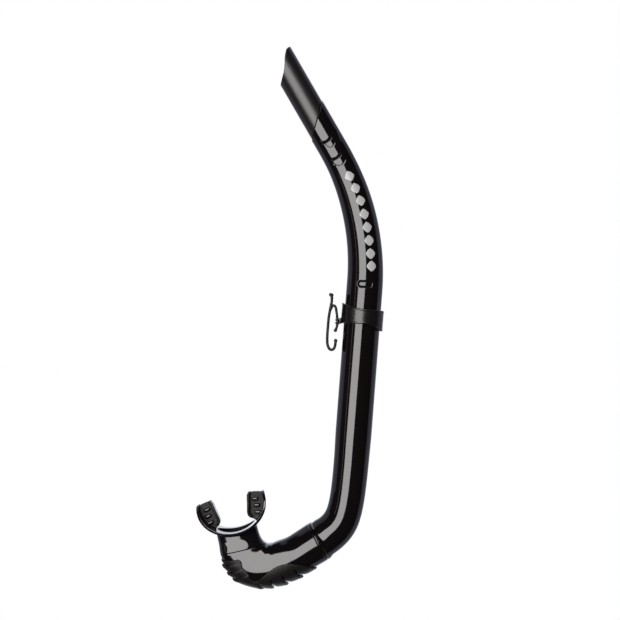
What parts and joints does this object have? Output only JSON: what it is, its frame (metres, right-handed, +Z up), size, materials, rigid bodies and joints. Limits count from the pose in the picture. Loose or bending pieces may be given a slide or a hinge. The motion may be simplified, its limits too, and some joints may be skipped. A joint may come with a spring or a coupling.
{
  "type": "snorkel",
  "caption": "J-shaped diving snorkel: bent barrel with slanted tip, turning elbow with finned guard, bite mouthpiece, sliding keeper with strap clip.",
  "frame": {"origin": "on the axis of the straight run of the barrel, at the height of the keeper band at rest", "axes": "+Z up the straight run of the barrel towards the tip; the whole J lies in the XZ plane with the mouthpiece on the -X side; the oval stud is on the -Y side"},
  "size_m": [0.1317, 0.0338, 0.4123],
  "materials": {
    "barrel_gloss": "high gloss black, smooth moulded",
    "tip_satin": "soft satin black",
    "ring_gloss": "gloss black",
    "seal_rubber": "matte black rubber",
    "elbow_gloss": "high gloss black, smooth moulded",
    "guard_rubber": "matte charcoal, soft to the touch",
    "mouthpiece_silicone": "black silicone, polished lip rim and matte bite tabs",
    "band_rubber": "matte black soft plastic",
    "clip_satin": "satin black moulded plastic"
  },
  "bodies": {
    "barrel": {"barrel": "barrel_gloss", "barrel_tip": "tip_satin"},
    "elbow": {"elbow": "elbow_gloss", "elbow_guard": "guard_rubber", "mouthpiece": "mouthpiece_silicone", "joint_ring": "ring_gloss", "joint_o_ring": "seal_rubber"},
    "keeper": {"keeper_band": "band_rubber"},
    "clip": {"keeper_clip": "clip_satin"}
  },
  "joints": [
    {"name": "elbow_swivel", "type": "hinge", "parent": "barrel", "child": "elbow", "pos_m": [-0.02062, 0, -0.17344], "axis": [0.8348, 0, 0.5505], "range_deg": [-45, 45]},
    {"name": "keeper_slide", "type": "slide", "parent": "barrel", "child": "keeper", "axis": [0, 0, 1], "range_m": [-0.07, 0.014]},
    {"name": "clip_hinge", "type": "hinge", "parent": "keeper", "child": "clip", "pos_m": [-0.0186, 0, -0.0056], "axis": [0, 1, 0], "range_deg": [-10, 15]}
  ]
}
